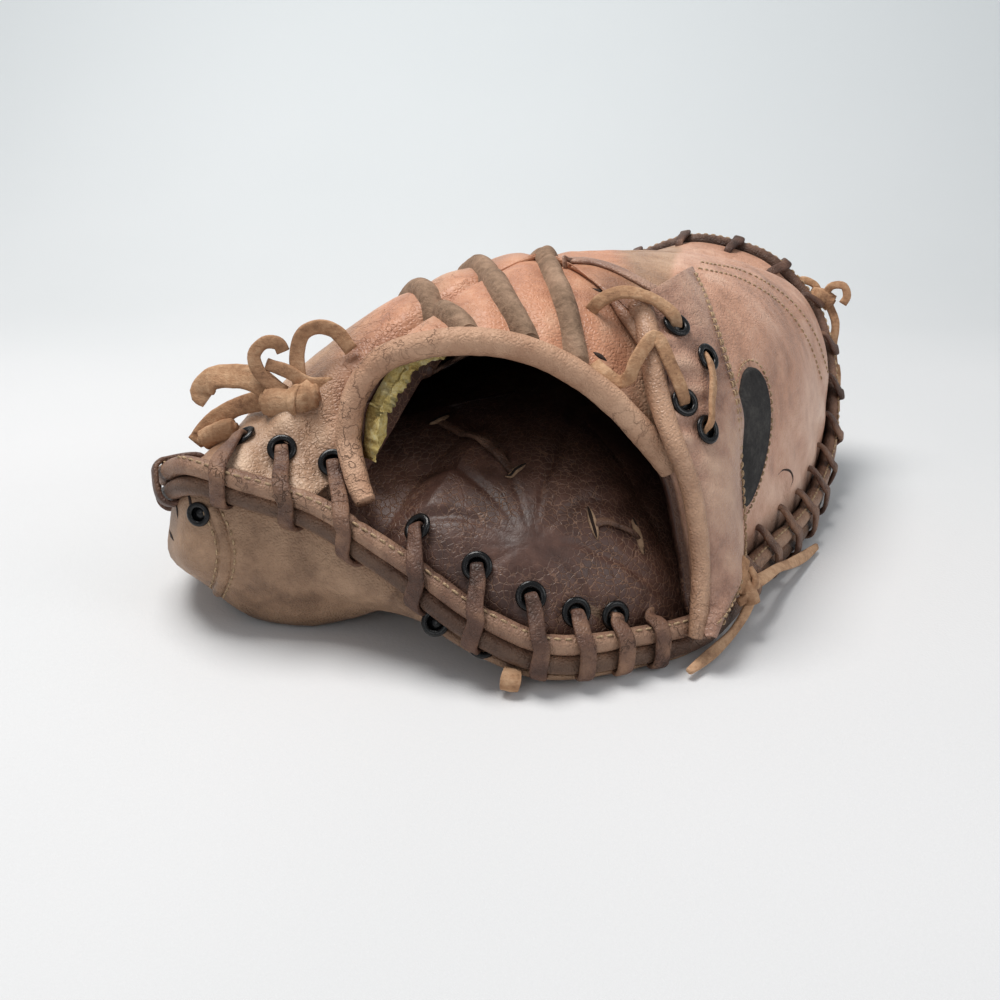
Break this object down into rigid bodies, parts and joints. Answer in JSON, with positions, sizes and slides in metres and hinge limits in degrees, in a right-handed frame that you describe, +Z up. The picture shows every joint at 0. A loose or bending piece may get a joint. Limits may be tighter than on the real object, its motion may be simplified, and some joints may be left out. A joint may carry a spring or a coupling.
{
  "type": "catcher mitt",
  "caption": "Worn round leather catcher's mitt lying palm down, with laced rolled edges, an open hand hollow lined with fleece, a wrist strap and a ball pocket beneath.",
  "frame": {"origin": "centre of the bounding box on the plane the mitt lies on", "axes": "+X towards the thumb side, +Y from the heel of the hand to the toe, +Z up"},
  "size_m": [0.2918, 0.2602, 0.1239],
  "materials": {
    "back_leather": "worn tan leather",
    "thumb_leather": "worn brown leather",
    "strap_leather": "smooth brown leather, scuffed",
    "pad_leather": "worn brown leather",
    "roll_leather": "rolled leather edge",
    "lining_leather": "dark creased lining",
    "fleece": "matted wool pile",
    "lacing": "rough suede lacing",
    "eyelet": "gloss black enamel",
    "badge": "moulded, matt and worn"
  },
  "bodies": {
    "root": {"palm_pad": "pad_leather", "palm_liner": "lining_leather", "back_panel": "back_leather", "thumb_panel": "thumb_leather", "upper_roll": "roll_leather", "lower_roll": "roll_leather", "arch_binding": "roll_leather", "fleece_lining": "fleece", "heel_lace": "lacing", "rim_lace": "lacing", "heel_eyelet_1": "eyelet", "heel_eyelet_2": "eyelet", "heel_eyelet_3": "eyelet", "heel_eyelet_4": "eyelet", "heel_eyelet_5": "eyelet", "heel_eyelet_6": "eyelet", "heel_eyelet_7": "eyelet", "heel_eyelet_8": "eyelet", "heel_eyelet_9": "eyelet", "finger_welt_1": "lacing", "finger_welt_2": "lacing", "finger_welt_3": "lacing", "wrist_strap": "strap_leather", "strap_roll": "strap_leather", "badge_plate": "badge", "strap_eyelet_1": "eyelet", "strap_eyelet_2": "eyelet", "strap_eyelet_3": "eyelet", "strap_eyelet_4": "eyelet", "strap_lace_1": "lacing", "strap_lace_2": "lacing", "strap_lace_3": "lacing", "palm_lace_1": "lacing", "palm_lace_2": "lacing", "left_knot": "lacing", "rim_knot": "lacing", "tie_knot": "lacing", "tie_tail_side": "lacing", "tie_tail_front": "lacing", "heel_knot": "lacing"}
  },
  "joints": []
}
